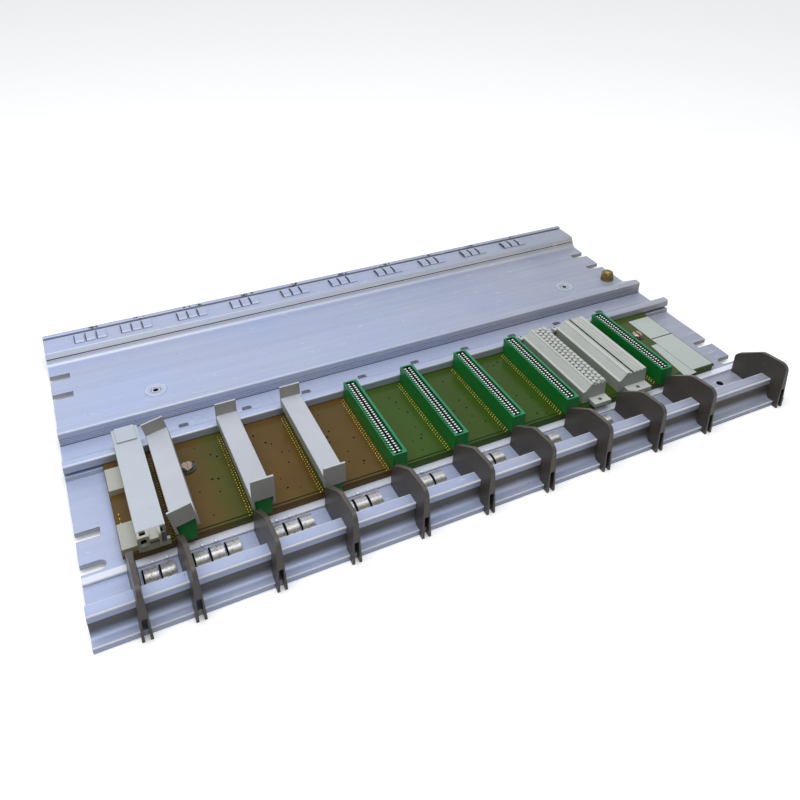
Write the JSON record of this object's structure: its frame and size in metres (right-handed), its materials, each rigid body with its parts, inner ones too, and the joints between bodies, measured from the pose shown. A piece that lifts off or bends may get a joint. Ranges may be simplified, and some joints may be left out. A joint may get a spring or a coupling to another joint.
{
  "type": "subrack card cage",
  "caption": "Long aluminium mounting rack for plug-in control modules, with a bus board, slot connectors, covers, plastic card guides, spring contacts and a ground stud.",
  "frame": {"origin": "centre of the part's outline, on the rear plane that the rack lies on", "axes": "+X along the rack to its right end, +Y from the card guides to the far rail, +Z out of the rear plane, towards the side the modules plug in"},
  "size_m": [0.483, 0.303, 0.0401],
  "materials": {
    "bare_aluminium": "satin, as extruded",
    "dark_plastic": "matte, slightly scuffed",
    "spring_steel": "zinc plated, speckled",
    "board_laminate": "lacquered laminate",
    "zinc_steel": "zinc plated",
    "green_plastic": "moulded, satin",
    "pale_green_plastic": "moulded, satin",
    "grey_plastic": "moulded, matte",
    "cream_plastic": "moulded, aged",
    "white_film": "printed film, left bare",
    "brass": "plain brass"
  },
  "bodies": {
    "root": {"near_profile": "bare_aluminium", "far_profile": "bare_aluminium", "card_guide_01": "dark_plastic", "card_guide_02": "dark_plastic", "card_guide_03": "dark_plastic", "card_guide_04": "dark_plastic", "card_guide_05": "dark_plastic", "card_guide_06": "dark_plastic", "card_guide_07": "dark_plastic", "card_guide_08": "dark_plastic", "card_guide_09": "dark_plastic", "card_guide_10": "dark_plastic", "card_guide_11": "dark_plastic", "near_springs_01": "spring_steel", "near_springs_02": "spring_steel", "near_springs_03": "spring_steel", "near_springs_04": "spring_steel", "near_springs_05": "spring_steel", "near_springs_06": "spring_steel", "near_springs_07": "spring_steel", "near_springs_08": "spring_steel", "near_springs_09": "spring_steel", "far_springs_01": "spring_steel", "far_springs_02": "spring_steel", "far_springs_03": "spring_steel", "far_springs_04": "spring_steel", "far_springs_05": "spring_steel", "far_springs_06": "spring_steel", "far_springs_07": "spring_steel", "far_springs_08": "spring_steel", "far_springs_09": "spring_steel", "far_springs_10": "spring_steel", "bus_board": "board_laminate", "board_posts": "zinc_steel", "board_washers": "zinc_steel", "board_screws": "zinc_steel", "card_edge_connector_01": "green_plastic", "card_edge_connector_02": "green_plastic", "card_edge_connector_03": "green_plastic", "card_edge_connector_04": "green_plastic", "card_edge_connector_05": "green_plastic", "card_edge_connector_06": "green_plastic", "card_edge_connector_07": "green_plastic", "card_edge_connector_08": "green_plastic", "multi_row_connector_01": "pale_green_plastic", "multi_row_connector_02": "pale_green_plastic", "connector_cap_01": "grey_plastic", "connector_cap_02": "grey_plastic", "connector_cap_03": "grey_plastic", "slot_cover": "cream_plastic", "long_plate": "white_film", "upper_plate": "white_film", "ground_stud": "brass", "ground_nut": "brass", "ground_washer": "brass"}
  },
  "joints": []
}
